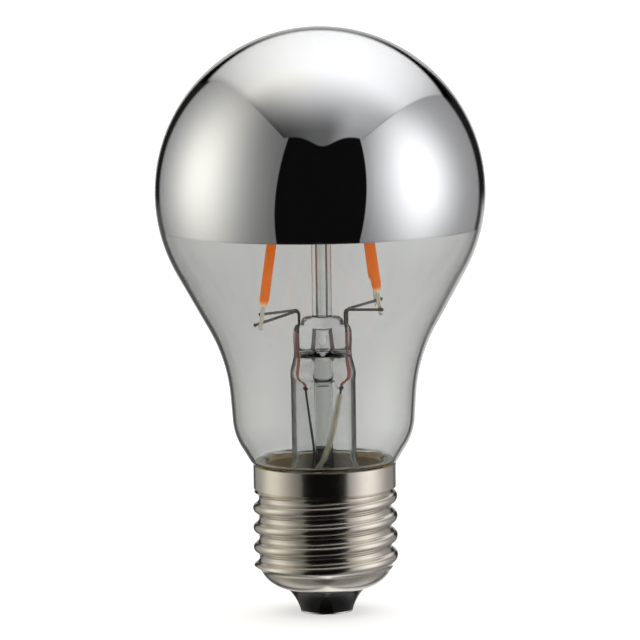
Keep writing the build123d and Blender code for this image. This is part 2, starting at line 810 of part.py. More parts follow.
def neutral_lead():
    wall = ROOT_RADIUS - SHEET - WIRE_RADIUS - NEUTRAL_GAP
    profile = [
        (NEUTRAL_PAD_RADIUS, BOARD_TOP),
        (NEUTRAL_PAD_RADIUS, BOARD_TOP + NEUTRAL_RISE),
        (wall, BOARD_TOP + NEUTRAL_RISE + NEUTRAL_CLIMB),
        (wall, BOARD_TOP + NEUTRAL_RISE + NEUTRAL_CLIMB + NEUTRAL_TIP),
    ]
    return Rot(0, 0, NEUTRAL_ANGLE) * wire([(r, 0, z) for r, z in profile], NEUTRAL_BEND)


def all_parts():
    parts = {
        "glass_envelope": glass_envelope(),
        "mirror_crown": mirror_crown(),
        "stem_flare": stem_flare(),
        "exhaust_tube": exhaust_tube(),
        "centre_post": centre_post(),
        "cap_shell": cap_shell(),
        "cap_insulator": cap_insulator(),
        "centre_contact": centre_contact(),
        "contact_solder": contact_solder(),
        "base_cement": base_cement(),
        "outer_lead_left": outer_lead(LEFT_LEAD),
        "outer_lead_right": outer_lead(RIGHT_LEAD),
        "lead_sleeve": lead_sleeve(),
        "driver_board": driver_board(),
        "bridge_rectifier": packaged_chip(BRIDGE_SIZE, BRIDGE_PLACE, BRIDGE_LEGS, BRIDGE_LEG_PITCH),
        "driver_chip": packaged_chip(CHIP_SIZE, CHIP_PLACE, CHIP_LEGS, LEG_PITCH),
        "filter_capacitor": filter_capacitor(),
        "fuse_resistor": fuse_resistor(),
        "sense_resistors": sense_resistors(),
        "live_lead": live_lead(),
        "neutral_lead": neutral_lead(),
    }
    for name in TOP_LINKS:
        parts[name] = top_link(name)
    for name, corner in CORNERS.items():
        parts["filament_" + name] = filament(corner)
        parts["lower_tab_" + name] = lower_tab(corner)
        parts["upper_tab_" + name] = upper_tab(corner)
        parts["arm_" + name] = arm(corner)
        parts["seal_wire_" + name] = seal_wire(corner)
    return parts


os.makedirs("parts", exist_ok=True)
for node, shape in all_parts().items():
    export_step(shape, "parts/" + node + ".step")
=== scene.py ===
"""Dress the half-mirrored filament lamp: smooth glass, silver crown, wires, rolled cap and a light tent."""

from __future__ import annotations

import logging
import math
from dataclasses import dataclass, field, replace
from enum import Enum
from typing import Any, Iterable, Optional, Sequence, Union

import bpy
from mathutils import Matrix, Vector

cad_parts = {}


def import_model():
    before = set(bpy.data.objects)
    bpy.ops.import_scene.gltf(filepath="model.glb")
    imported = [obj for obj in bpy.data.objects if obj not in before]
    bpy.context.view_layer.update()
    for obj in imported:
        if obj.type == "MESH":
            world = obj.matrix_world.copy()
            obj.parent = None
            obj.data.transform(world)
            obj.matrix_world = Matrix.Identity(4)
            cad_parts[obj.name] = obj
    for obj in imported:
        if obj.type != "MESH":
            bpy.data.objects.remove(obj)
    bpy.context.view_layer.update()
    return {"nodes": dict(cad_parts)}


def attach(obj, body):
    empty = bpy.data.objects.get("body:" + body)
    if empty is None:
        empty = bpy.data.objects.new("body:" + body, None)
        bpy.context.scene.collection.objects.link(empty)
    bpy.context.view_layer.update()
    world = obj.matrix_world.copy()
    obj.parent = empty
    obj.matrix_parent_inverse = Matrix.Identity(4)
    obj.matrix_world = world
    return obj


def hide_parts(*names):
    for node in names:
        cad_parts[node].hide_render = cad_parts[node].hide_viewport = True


log = logging.getLogger("lamp")

MM = 0.001
PLACES = ("front_left", "front_right", "back_left", "back_right")

# A point is a radius and a height, a fade the start and end of a smooth step, a bell a centre and a width
Point = tuple[float, float]
Fade = tuple[float, float]
Bell = tuple[float, float]
Colour = tuple[float, float, float]
Input = Union["Term", float, Sequence[float]]
Sockets = dict[Union[str, int], Input]


class Slot(Enum):
    """The record's material slot names."""

    GLASS = "clear_glass"
    MIRROR = "mirror_silver"
    CAP = "cap_nickel"
    INSULATOR = "insulator_black"
    CONTACT = "contact_metal"
    SOLDER = "solder"
    CEMENT = "cement_brown"
    LEAD = "lead_metal"
    SLEEVE = "sleeve_cream"
    WIRE = "wire_nickel"
    SEAL = "seal_copper"
    PHOSPHOR = "phosphor_orange"


class Term:
    """A shader socket that Python's operators can work on."""

    def __init__(self, graph: "Graph", socket: bpy.types.NodeSocket) -> None:
        """Keep the socket and the graph that it belongs to."""
        self.graph = graph
        self.socket = socket

    def __add__(self, other: Input) -> "Term":
        """Sum of two values."""
        return self.graph.maths("ADD", self, other)

    def __radd__(self, other: Input) -> "Term":
        """Sum of two values."""
        return self.graph.maths("ADD", other, self)

    def __sub__(self, other: Input) -> "Term":
        """Difference of two values."""
        return self.graph.maths("SUBTRACT", self, other)

    def __rsub__(self, other: Input) -> "Term":
        """Difference of two values."""
        return self.graph.maths("SUBTRACT", other, self)

    def __mul__(self, other: Input) -> "Term":
        """Product of two values."""
        return self.graph.maths("MULTIPLY", self, other)

    def __rmul__(self, other: Input) -> "Term":
        """Product of two values."""
        return self.graph.maths("MULTIPLY", other, self)

    def __truediv__(self, other: Input) -> "Term":
        """Quotient of two values."""
        return self.graph.maths("DIVIDE", self, other)

    def at_least(self, other: Input) -> "Term":
        """The larger of two values."""
        return self.graph.maths("MAXIMUM", self, other)

    def more_than(self, count: int) -> "Term":
        """One where a whole number is more than a count, else zero."""
        return self.graph.maths("GREATER_THAN", self, count + 0.5)

    def size(self) -> "Term":
        """The value without its sign."""
        return self.graph.maths("ABSOLUTE", self)

    def fade(self, low: float, high: float) -> "Term":
        """A smooth step from zero at low to one at high.

        Args:
            low: Value at which the step starts.
            high: Value at which it ends; it may be below low.

        Returns:
            The step as a value from zero to one.
        """
        if high < low:
            return 1 - self.fade(high, low)
        return self.graph.node(
            "ShaderNodeMapRange",
            {"interpolation_type": "SMOOTHSTEP"},
            {"Value": self, "From Min": low, "From Max": high},
        )

    def hump(self, centre: float, width: float) -> "Term":
        """A bell curve of a value about a centre."""
        offset = (self - centre) / width
        return self.graph.maths("EXPONENT", offset * offset * -0.5)


class Graph:
    """A node tree that is written as expressions."""

    def __init__(self, tree: bpy.types.NodeTree) -> None:
        """Start from an empty tree."""
        self.tree = tree
        tree.nodes.clear()

    def node(
        self,
        kind: str,
        settings: Optional[dict[str, Any]] = None,
        inputs: Optional[Sockets] = None,
        output: Union[str, int] = 0,
    ) -> Term:
        """Add a node, set it up and feed its sockets.

        Args:
            kind: The node's type.
            settings: Properties of the node, set before its sockets.
            inputs: Values or terms by socket name or number.
            output: The socket that the term stands for.

        Returns:
            The chosen output as a term, or the first input of a node without outputs.
        """
        made = self.tree.nodes.new(kind)
        for name, value in (settings or {}).items():
            setattr(made, name, value)
        for name, value in (inputs or {}).items():
            socket = made.inputs[name]
            if isinstance(value, Term):
                self.tree.links.new(value.socket, socket)
            else:
                socket.default_value = value
        return Term(self, made.outputs[output]) if made.outputs else Term(self, made.inputs[0])

    def maths(self, operation: str, *values: Input) -> Term:
        """A Math node on values or terms."""
        return self.node("ShaderNodeMath", {"operation": operation}, dict(enumerate(values)))

    def blend(self, amount: Input, first: Input, second: Input) -> Term:
        """A colour between two colours."""
        colours = [(*c, 1.0) if isinstance(c, tuple) else c for c in (first, second)]
        return self.node(
            "ShaderNodeMix",
            {"data_type": "RGBA"},
            {0: amount, 6: colours[0], 7: colours[1]},
            output=2,
        )

    def place(self) -> Term:
        """Object coordinates, in metres."""
        return self.node("ShaderNodeTexCoord", output="Object")

    def part(self, vector: Term, axis: str) -> Term:
        """One coordinate of a vector."""
        return self.node("ShaderNodeSeparateXYZ", inputs={0: vector}, output=axis)

    def ray(self, fact: str) -> Term:
        """A fact about the ray that meets the surface or the world."""
        return self.node("ShaderNodeLightPath", output=fact)

    def noise(self, scale: float, detail: float = 3.0) -> Term:
        """Cloudy noise on Object coordinates, in cycles per metre."""
        return self.node(
            "ShaderNodeTexNoise",
            inputs={"Vector": self.place(), "Scale": scale, "Detail": detail},
            output="Fac",
        )


@dataclass(frozen=True)
class Finish:
    """A plain finish with a little variation of tone and gloss over the surface."""

    name: str
    colour: Colour
    shade: Colour
    roughness: float
    metallic: float = 0.0
    gloss_change: float = 0.0
    grain: float = 600.0
    bump: float = 0.0
    bump_depth: float = 0.1 * MM
    alpha: float = 1.0
    specular: float = 0.5

    def material(self) -> bpy.types.Material:
        """Build the finish once.

        Returns:
            The material, made on the first call and found again after it.
        """
        found = bpy.data.materials.get(self.name)
        if found:
            return found
        made = bpy.data.materials.new(self.name)
        made.use_nodes = True
        graph = Graph(made.node_tree)
        shader = self.shader(graph)
        graph.node("ShaderNodeOutputMaterial", inputs={"Surface": shader})
        return made

    def sockets(self, graph: Graph) -> Sockets:
        """Values and terms of the surface's sockets.

        Args:
            graph: The tree to add nodes to.

        Returns:
            Socket names with their values or terms.
        """
        cloud = graph.noise(self.grain)
        sockets: Sockets = {
            "Base Color": graph.blend(cloud, self.shade, self.colour),
            "Roughness": self.roughness,
            "Metallic": self.metallic,
            "Alpha": self.alpha,
            "Specular IOR Level": self.specular,
        }
        if self.gloss_change:
            sockets["Roughness"] = cloud * self.gloss_change + (self.roughness - self.gloss_change / 2)
        if self.bump:
            sockets["Normal"] = graph.node(
                "ShaderNodeBump",
                inputs={"Strength": self.bump, "Distance": self.bump_depth, "Height": cloud},
            )
        return sockets

    def shader(self, graph: Graph) -> Term:
        """The finished surface shader."""
        return graph.node("ShaderNodeBsdfPrincipled", inputs=self.sockets(graph))


@dataclass(frozen=True)
class ClearGlass(Finish):
    """Blown glass: clear over the silver crown, and tinted grey below it as painted shade that darkens what
    is seen through it.
    """

    ior: float = 1.5
    clear_from: float = 0.0
    clear_edge: float = 0.2 * MM

    def sockets(self, graph: Graph) -> Sockets:
        """Values and terms of the glass's sockets.

        Args:
            graph: The tree to add nodes to.

        Returns:
            Socket names with their values or terms.
        """
        height = graph.part(graph.place(), "Z")
        # Painted shade: below clear_from the glass takes its grey shade colour, which darkens what shows
        # through the clear glass.
        above = height.fade(self.clear_from, self.clear_from + self.clear_edge)
        return {
            "Base Color": graph.blend(above, self.shade, self.colour),
            "Roughness": self.roughness,
            "IOR": self.ior,
            "Transmission Weight": 1.0,
        }


@dataclass(frozen=True)
class Phosphor(Finish):
    """Orange silicone over the diodes, paler where it thins out at a strip's ends, with a faint painted glow
    in its own colour.
    """

    end_low: float = 0.0
    end_high: float = 0.0
    pale: Colour = (0.8, 0.6, 0.4)
    painted_glow: float = 0.0

    def sockets(self, graph: Graph) -> Sockets:
        """Values and terms of the strip's sockets.

        Args:
            graph: The tree to add nodes to.

        Returns:
            Socket names with their values or terms.
        """
        sockets = super().sockets(graph)
        height = graph.part(graph.place(), "Z")
        thin = height.fade(self.end_high, self.end_low)
        sockets["Base Color"] = graph.blend(thin, sockets["Base Color"], self.pale)
        # Painted glow: the unlit strips give out a faint light in their own colour.
        sockets["Emission Color"] = sockets["Base Color"]
        sockets["Emission Strength"] = self.painted_glow
        return sockets


CLEAR = (0.97, 0.975, 0.97)
MIRROR_EDGE = 70.5 * MM
ABOVE_LAMP = 200.0 * MM
# The bulb glass's grey shade colour below the mirror's edge is painted shade over clear glass.
GLASS = ClearGlass("bulb glass", CLEAR, (0.80, 0.805, 0.79), 0.0, clear_from=MIRROR_EDGE)
STEM_GLASS = ClearGlass("stem glass", CLEAR, (0.93, 0.935, 0.93), 0.0, clear_from=ABOVE_LAMP)
SILVER = Finish("silver coat", (0.945, 0.94, 0.975), (0.925, 0.92, 0.955), 0.015, 1.0, grain=40.0)
NICKEL = Finish("cap nickel", (0.73, 0.68, 0.61), (0.65, 0.60, 0.53), 0.19, 1.0, 0.08, 500.0, 0.05)
BLACK = Finish("insulator black", (0.005, 0.005, 0.005), (0.003, 0.003, 0.003), 0.12, specular=0.3)
CONTACT = Finish("contact plate", (0.75, 0.73, 0.68), (0.66, 0.64, 0.60), 0.3, 1.0)
SOLDER = Finish("dull solder", (0.62, 0.62, 0.63), (0.5, 0.5, 0.51), 0.4, 1.0)
CEMENT = Finish("capping cement", (0.66, 0.46, 0.14), (0.53, 0.37, 0.11), 0.9, bump=0.4, specular=0.0)
LEAD = Finish("tinned lead", (0.10, 0.095, 0.09), (0.06, 0.055, 0.05), 0.4, 1.0)
SLEEVE = Finish("cream sleeve", (0.95, 0.90, 0.72), (0.90, 0.84, 0.64), 0.35, alpha=0.45)
BOARD = Finish("board mask", (0.80, 0.81, 0.78), (0.76, 0.77, 0.74), 0.4)
CHIP = Finish("moulded black", (0.03, 0.03, 0.032), (0.02, 0.02, 0.022), 0.5)
CAN = Finish("capacitor sleeve", (0.04, 0.04, 0.045), (0.03, 0.03, 0.032), 0.25)
RESISTOR = Finish("resistor lacquer", (0.62, 0.50, 0.34), (0.54, 0.43, 0.29), 0.5)
WIRE = Finish("nickel wire", (0.24, 0.225, 0.205), (0.17, 0.16, 0.145), 0.25, 1.0)
TAB = Finish("pale strip end", (0.56, 0.54, 0.46), (0.51, 0.49, 0.42), 0.4)
COPPER = Finish("seal copper", (0.62, 0.16, 0.14), (0.48, 0.11, 0.10), 0.35, 0.3)
PHOSPHOR = Phosphor(
    "phosphor",
    (0.88, 0.185, 0.006),
    (0.78, 0.155, 0.005),
    0.45,
    grain=900.0,
    specular=0.1,
    painted_glow=0.03,
)


@dataclass
class Bench:
    """The modelling bench: what every sub-assembly uses to make, copy and dress its pieces."""

    nodes: dict[str, bpy.types.Object]
    steps: int = 192
    merge: float = 1e-6

    @staticmethod
    def clear_selection() -> None:
        """Leave edit mode and select nothing."""
        if bpy.context.mode != "OBJECT":
            bpy.ops.object.mode_set(mode="OBJECT")
        bpy.ops.object.select_all(action="DESELECT")

    def pick(self, piece: bpy.types.Object) -> None:
        """Select one piece alone and make it active.

        Args:
            piece: The piece to work on.
        """
        self.clear_selection()
        piece.select_set(True)
        bpy.context.view_layer.objects.active = piece

    def turned(self, name: str, outline: Sequence[Point]) -> bpy.types.Object:
        """Turn an outline about the lamp's axis, as a glass lathe does.

        Args:
            name: The new piece's name.
            outline: Radius and height of each point, in millimetres, outside first.

        Returns:
            The closed piece, with its place in its mesh.
        """
        self.clear_selection()
        bpy.ops.mesh.primitive_circle_add(vertices=3, radius=MM)
        piece = bpy.context.active_object
        piece.name = name
        bpy.ops.object.mode_set(mode="EDIT")
        bpy.ops.mesh.select_all(action="SELECT")
        bpy.ops.mesh.merge(type="CENTER")
        start = outline[0]
        bpy.ops.transform.translate(value=(start[0] * MM, 0, start[1] * MM))
        for before, after in zip(outline, outline[1:]):
            step = ((after[0] - before[0]) * MM, 0, (after[1] - before[1]) * MM)
            bpy.ops.mesh.extrude_vertices_move(TRANSFORM_OT_translate={"value": step})
        bpy.ops.mesh.select_all(action="SELECT")
        bpy.ops.mesh.spin(steps=self.steps, angle=math.tau, center=(0, 0, 0), axis=(0, 0, 1))
        bpy.ops.mesh.select_all(action="SELECT")
        bpy.ops.mesh.remove_doubles(threshold=self.merge)
        bpy.ops.mesh.normals_make_consistent(inside=False)
        bpy.ops.object.mode_set(mode="OBJECT")
        self.smooth(piece)
        return piece

    def smooth(self, piece: bpy.types.Object, angle: float = 35.0) -> None:
        """Shade a piece smooth up to an edge angle, in degrees."""
        self.pick(piece)
        bpy.ops.object.shade_smooth_by_angle(angle=math.radians(angle))

    def smooth_copy(self, node: str) -> bpy.types.Object:
        """Copy a CAD node's mesh, weld its triangles and shade it smooth.

        Args:
            node: The CAD node's name.

        Returns:
            The copy, which is to stand for the node.
        """
        source = self.nodes[node]
        piece = bpy.data.objects.new(node + "_smooth", source.data.copy())
        bpy.context.scene.collection.objects.link(piece)
        self.pick(piece)
        bpy.ops.object.mode_set(mode="EDIT")
        bpy.ops.mesh.select_all(action="SELECT")
        bpy.ops.mesh.customdata_custom_splitnormals_clear()
        bpy.ops.mesh.remove_doubles(threshold=self.merge)
        bpy.ops.object.mode_set(mode="OBJECT")
        self.smooth(piece)
        return piece

    def dress(self, piece: bpy.types.Object, finish: Finish, node: str) -> None:
        """Give a piece its finish and let it stand for a CAD node.

        Args:
            piece: The finished piece.
            finish: Its finish.
            node: The CAD node that it stands for.
        """
        piece.data.materials.clear()
        piece.data.materials.append(finish.material())
        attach(piece, "root")
        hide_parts(node)
        log.info("%s stands for %s in %s", piece.name, node, finish.name)

    def smooth_all(self, nodes: Iterable[str], finish: Finish) -> None:
        """Weld, smooth and dress several CAD nodes in one finish."""
        for node in nodes:
            self.dress(self.smooth_copy(node), finish, node)

    def paint(self, nodes: Iterable[str], finish: Finish) -> None:
        """Dress CAD nodes as they are.

        Args:
            nodes: The nodes' names.
            finish: Their finish.
        """
        for node in nodes:
            materials = self.nodes[node].data.materials
            materials.clear()
            materials.append(finish.material())
            log.info("%s is dressed in %s", node, finish.name)


def arc_points(centre: Point, radius: float, start: float, end: float, step: float = 1.2) -> list[Point]:
    """Points along an arc.

    Args:
        centre: The arc's centre.
        radius: Its radius.
        start: Its first angle, in degrees.
        end: Its last angle, in degrees.
        step: The largest angle between points.

    Returns:
        The points, with both ends.
    """
    count = max(2, math.ceil(abs(end - start) / step))
    points = []
    for index in range(count + 1):
        angle = math.radians(start + (end - start) * index / count)
        points.append((centre[0] + radius * math.cos(angle), centre[1] + radius * math.sin(angle)))
    return points


def rounded(corners: Sequence[Point], radii: Sequence[float], step: float = 3.0) -> list[Point]:
    """A chain of straight runs with rounded corners.

    Args:
        corners: The chain's points.
        radii: A radius for each corner between the first point and the last.
        step: The largest angle between points of an arc.

    Returns:
        The chain's points.
    """
    points = [corners[0]]
    for before, corner, after, radius in zip(corners, corners[1:], corners[2:], radii):
        first = (Vector(corner) - Vector(before)).normalized()
        second = (Vector(after) - Vector(corner)).normalized()
        turn = math.atan2(first.x * second.y - first.y * second.x, first.dot(second))
        reach = radius * math.tan(abs(turn) / 2)
        side = math.copysign(1.0, turn)
        centre = Vector(corner) - first * reach + Vector((-first.y, first.x)) * side * radius
        start = Vector(corner) - first * reach - centre
        opening = math.degrees(math.atan2(start.y, start.x))
        points += arc_points((centre.x, centre.y), radius, opening, opening + math.degrees(turn), step)
    points.append(corners[-1])
    return points


def inset_corner(before: Point, corner: Point, after: Point, amount: float) -> Point:
    """A corner of a downward outline, moved towards the axis so that both sides keep a wall.

    Args:
        before: The outline's point above the corner.
        corner: The corner to move.
        after: The outline's point below it.
        amount: The wall's thickness.

    Returns:
        The corner of the wall's inside.
    """
    normals = []
    for start, end in ((before, corner), (corner, after)):
        run = (Vector(end) - Vector(start)).normalized()
        normals.append(Vector((run.y, -run.x)))
    shift = (normals[0] + normals[1]) * (amount / (1 + normals[0].dot(normals[1])))
    return (corner[0] + shift.x, corner[1] + shift.y)


@dataclass
class GlassBulb:
    """The blown bulb and the silver coat inside its crown. Millimetres."""

    height: float = 107.0
    radius: float = 30.0
    wall: float = 0.7
    flank_angle: float = 29.0
    flank_fillet: float = 29.98
    cap_height: float = 27.3
    neck_rise: float = 11.7
    neck_radius: float = 16.85
    neck_taper: float = 4.0
    shoulder_rise: float = 5.6
    shoulder_angle: float = 31.0
    shoulder_fillet: float = 11.02
    lip_gap: float = 0.2
    lip_fillet: float = 1.4
    seat_fillet: float = 0.3
    tube_radius: float = 11.52
    tube_wall: float = 1.0
    seal_level: float = 23.7
    bore_fillet: float = 1.0
    mirror_drop: float = 6.45
    coat: float = 0.15
    coat_gap: float = 0.02

    @property
    def centre(self) -> float:
        """Height of the globe's centre."""
        return self.height - self.radius

    def corners(self) -> tuple[Point, Point, Point, Point]:
        """Corners of the bulb's outside below the globe.

        Returns:
            Where the globe ends, flank and neck meet, neck and shoulder meet, and the lip.
        """
        flank = math.radians(self.flank_angle)
        start = (self.radius * math.cos(flank), self.centre - self.radius * math.sin(flank))
        neck_level = self.cap_height + self.neck_rise
        neck_slope = math.tan(math.radians(self.neck_taper))
        slope = math.tan(flank)
        across = self.neck_radius - start[0] + slope * start[1] - neck_slope * neck_level
        flank_z = across / (slope - neck_slope)
        flank_corner = (start[0] - slope * (start[1] - flank_z), flank_z)
        shoulder_z = self.cap_height + self.shoulder_rise
        shoulder = (self.neck_radius - neck_slope * (neck_level - shoulder_z), shoulder_z)
        lip_z = self.cap_height + self.lip_gap
        lip = (shoulder[0] - math.tan(math.radians(self.shoulder_angle)) * (shoulder_z - lip_z), lip_z)
        return start, flank_corner, shoulder, lip

    def envelope_outline(self) -> list[Point]:
        """The glass wall's outline.

        Returns:
            Its points, down the outside from the crown and up the inside.
        """
        start, flank, shoulder, lip = self.corners()
        seat = (self.tube_radius, lip[1])
        bore = self.tube_radius - self.tube_wall
        inner_radius = self.radius - self.wall
        scale = inner_radius / self.radius
        inner_start = (start[0] * scale, self.centre + (start[1] - self.centre) * scale)
        outside = rounded(
            [start, flank, shoulder, lip, seat, (self.tube_radius, self.seal_level)],
            [self.flank_fillet, self.shoulder_fillet, self.lip_fillet, self.seat_fillet],
        )
        inside = rounded(
            [
                inner_start,
                inset_corner(start, flank, shoulder, self.wall),
                inset_corner(flank, shoulder, lip, self.wall),
                inset_corner(shoulder, lip, seat, self.wall),
                (bore, lip[1] + self.wall),
                (bore, self.seal_level),
            ],
            [
                self.flank_fillet + self.wall,
                self.shoulder_fillet - self.wall,
                self.lip_fillet - self.wall,
                self.bore_fillet,
            ],
        )
        globe = arc_points((0.0, self.centre), self.radius, 90.0, -self.flank_angle)
        lining = arc_points((0.0, self.centre), inner_radius, -self.flank_angle, 90.0)
        return globe + outside[1:] + inside[:0:-1] + lining

    def mirror_outline(self) -> list[Point]:
        """The coat's outline.

        Returns:
            Its points, down the outside from the crown and up the inside.
        """
        outer = self.radius - self.wall - self.coat_gap
        inner = outer - self.coat
        outer_end = -math.degrees(math.asin(self.mirror_drop / outer))
        inner_end = -math.degrees(math.asin(self.mirror_drop / inner))
        middle = (0.0, self.centre)
        return arc_points(middle, outer, 90.0, outer_end) + arc_points(middle, inner, inner_end, 90.0)

    def build(self, bench: Bench) -> None:
        """Turn and dress the glass and its silver coat.

        Args:
            bench: The modelling bench.
        """
        glass = bench.turned("bulb_glass", self.envelope_outline())
        bench.dress(glass, GLASS, "glass_envelope")
        silver = bench.turned("silver_crown", self.mirror_outline())
        bench.dress(silver, SILVER, "mirror_crown")


@dataclass
class Stem:
    """The glass work inside the bulb."""

    pieces: tuple[str, ...] = ("stem_flare", "exhaust_tube", "centre_post")

    def build(self, bench: Bench) -> None:
        """Smooth and dress the stem's glass pieces."""
        bench.smooth_all(self.pieces, STEM_GLASS)


@dataclass
class LightSource:
    """The filament strips with their tabs, support wires and leads. Millimetres."""

    strip_ends: dict[str, float] = field(default_factory=lambda: {"left": 57.1, "right": 59.4})
    pale_length: float = 1.3

    def phosphor(self, side: str) -> Phosphor:
        """The orange finish of the strips on one side.

        Args:
            side: Left or right.

        Returns:
            The finish, with its pale end at that side's height.
        """
        low = self.strip_ends[side]
        high = low + self.pale_length
        return replace(PHOSPHOR, name="phosphor " + side, end_low=low * MM, end_high=high * MM)

    def build(self, bench: Bench) -> None:
        """Smooth and dress the strips and every wire.

        Args:
            bench: The modelling bench.
        """
        for place in PLACES:
            finish = self.phosphor(place.split("_")[1])
            bench.smooth_all(["filament_" + place], finish)
            bench.paint(["lower_tab_" + place, "upper_tab_" + place], TAB)
            bench.smooth_all(["arm_" + place], WIRE)
            bench.smooth_all(["seal_wire_" + place], COPPER)
        bench.smooth_all(["top_link_a", "top_link_b"], WIRE)
        bench.smooth_all(["outer_lead_left", "outer_lead_right"], LEAD)
        bench.smooth_all(["lead_sleeve"], SLEEVE)


@dataclass
class ScrewCap:
    """The rolled shell, its black insulator, the contact and the cement. Millimetres."""

    cement_inside: float = 11.56
    cement_outside: float = 12.70
    cement_low: float = 23.42
    cement_top: float = 27.05
    cement_sag: float = 0.25
    cement_step: float = 20.0
    rim_level: float = 27.3
    rim_radius: float = 13.025
    rim_slack: float = 0.02
    rim_round: float = 0.18
    rim_segments: int = 5

    def cement_outline(self) -> list[Point]:
        """The cement ring's outline.

        Returns:
            Its points, across the sagging top and round the foot.
        """
        half = (self.cement_outside - self.cement_inside) / 2
        middle = self.cement_inside + half
        radius = (half**2 + self.cement_sag**2) / (2 * self.cement_sag)
        spread = math.degrees(math.asin(half / radius))
        centre = (middle, self.cement_top - self.cement_sag + radius)
        top = arc_points(centre, radius, -90.0 - spread, -90.0 + spread, self.cement_step)
        foot = [(self.cement_outside, self.cement_low), (self.cement_inside, self.cement_low), top[0]]
        return top + foot

    def round_rim(self, bench: Bench, shell: bpy.types.Object) -> None:
        """Round the outer edge of the shell's mouth.

        Args:
            bench: The modelling bench.
            shell: The welded copy of the shell.
        """
        bench.pick(shell)
        bpy.ops.object.mode_set(mode="EDIT")
        bpy.ops.mesh.select_mode(type="EDGE")
        bpy.ops.mesh.select_all(action="DESELECT")
        bpy.ops.object.mode_set(mode="OBJECT")
        mesh = shell.data
        low = (self.rim_level - self.rim_slack) * MM
        inside = (self.rim_radius - self.rim_slack) * MM
        for edge in mesh.edges:
            ends = [mesh.vertices[index].co for index in edge.vertices]
            edge.select = all(end.z > low and end.xy.length > inside for end in ends)
        bpy.ops.object.mode_set(mode="EDIT")
        bpy.ops.mesh.bevel(offset=self.rim_round * MM, segments=self.rim_segments)
        bpy.ops.mesh.select_mode(type="VERT")
        bpy.ops.mesh.select_all(action="SELECT")
        bpy.ops.mesh.normals_make_consistent(inside=False)
        bpy.ops.object.mode_set(mode="OBJECT")
        bench.smooth(shell)

    def build(self, bench: Bench) -> None:
        """Smooth and dress the cap's pieces, and turn the cement that shows through the neck.

        Args:
            bench: The modelling bench.
        """
        shell = bench.smooth_copy("cap_shell")
        self.round_rim(bench, shell)
        bench.dress(shell, NICKEL, "cap_shell")
        bench.smooth_all(["cap_insulator"], BLACK)
        bench.smooth_all(["centre_contact"], CONTACT)
        bench.smooth_all(["contact_solder"], SOLDER)
        cement = bench.turned("cement_ring", self.cement_outline())
        bench.dress(cement, CEMENT, "base_cement")


@dataclass
class Driver:
    """The board in the cap with its parts and leads."""

    finishes: dict[str, Finish] = field(
        default_factory=lambda: {
            "driver_board": BOARD,
            "bridge_rectifier": CHIP,
            "driver_chip": CHIP,
            "filter_capacitor": CAN,
            "fuse_resistor": RESISTOR,
            "sense_resistors": CHIP,
            "live_lead": LEAD,
            "neutral_lead": LEAD,
        }
    )

    def build(self, bench: Bench) -> None:
        """Dress the driver's pieces, which the cap hides."""
        for node, finish in self.finishes.items():
            bench.paint([node], finish)


class Direction:
    """The direction in which a ray leaves the lamp, as shader terms.

    Attributes:
        x, y, z: The direction's coordinates.
        bearing: Degrees from the front, positive to the right.
        turn: The bearing without its sign.
        rise: Degrees above the level.
        along: Degrees over the top, from the front.
        inside: One if the ray went through glass.
        bare: One unless the ray comes off the silver coat.
    """

    def __init__(self, graph: Graph, crossed: Term, mirror_crossings: int) -> None:
        """Read the direction and the ray's way through the glass.

        Args:
            graph: The world's node tree.
            crossed: How many glass surfaces the ray went through.
            mirror_crossings: How many it goes through by way of the silver coat.
        """
        way = graph.node("ShaderNodeTexCoord", output="Generated")
        self.x, self.y, self.z = (graph.part(way, axis) for axis in "XYZ")
        self.bearing = graph.maths("ARCTAN2", self.x, 0 - self.y) * math.degrees(1)
        self.turn = self.bearing.size()
        self.rise = graph.maths("ARCSINE", self.z) * math.degrees(1)
        self.along = graph.maths("ARCTAN2", self.z, 0 - self.y) * math.degrees(1)
        self.inside = crossed.more_than(0)
        silver = crossed.more_than(mirror_crossings - 1) * (1 - crossed.more_than(mirror_crossings))
        self.bare = 1 - silver


@dataclass(frozen=True)
class Band:
    """A band of a value, with a soft edge at each end."""

    low: Fade
    high: Fade

    def mask(self, value: Term) -> Term:
        """One inside the band and zero outside it."""
        return value.fade(*self.low) * value.fade(*self.high)


@dataclass(frozen=True)
class SideWalls:
    """The tent's two lit walls and the dimmer cloth between them. Degrees."""

    height: Bell = (9.0, 28.0)
    left: Bell = (-94.0, 24.0)
    left_level: float = 0.98
    left_fall: Fade = (-100.0, -130.0)
    left_loss: float = 0.45
    right: Bell = (76.0, 23.0)
    right_level: float = 1.30
    rear: Fade = (90.0, 140.0)
    rear_gain: float = 0.16
    front_level: float = 0.14

    def level(self, way: Direction) -> Term:
        """The walls' brightness.

        Args:
            way: The ray's direction.

        Returns:
            Brightness by direction.
        """
        tall = way.rise.hump(*self.height)
        fall = 1 - way.bare * way.bearing.fade(*self.left_fall) * self.left_loss
        left = way.bearing.hump(*self.left) * tall * self.left_level * fall
        right = way.bearing.hump(*self.right) * tall * self.right_level
        return left + right + way.turn.fade(*self.rear) * self.rear_gain + self.front_level


@dataclass(frozen=True)
class Ground:
    """The tent's ground cloth, darker towards the front. Degrees."""

    edge: Fade = (-32.0, -55.0)
    rear: Fade = (90.0, 150.0)
    rear_gain: float = 0.45
    front_level: float = 0.27

    def over(self, walls: Term, way: Direction) -> Term:
        """Lay the ground cloth below the walls.

        Args:
            walls: Brightness so far.
            way: The ray's direction.

        Returns:
            Brightness with the ground cloth.
        """
        ground = way.rise.fade(*self.edge)
        level = way.turn.fade(*self.rear) * self.rear_gain + self.front_level
        return walls * (1 - ground) + ground * level


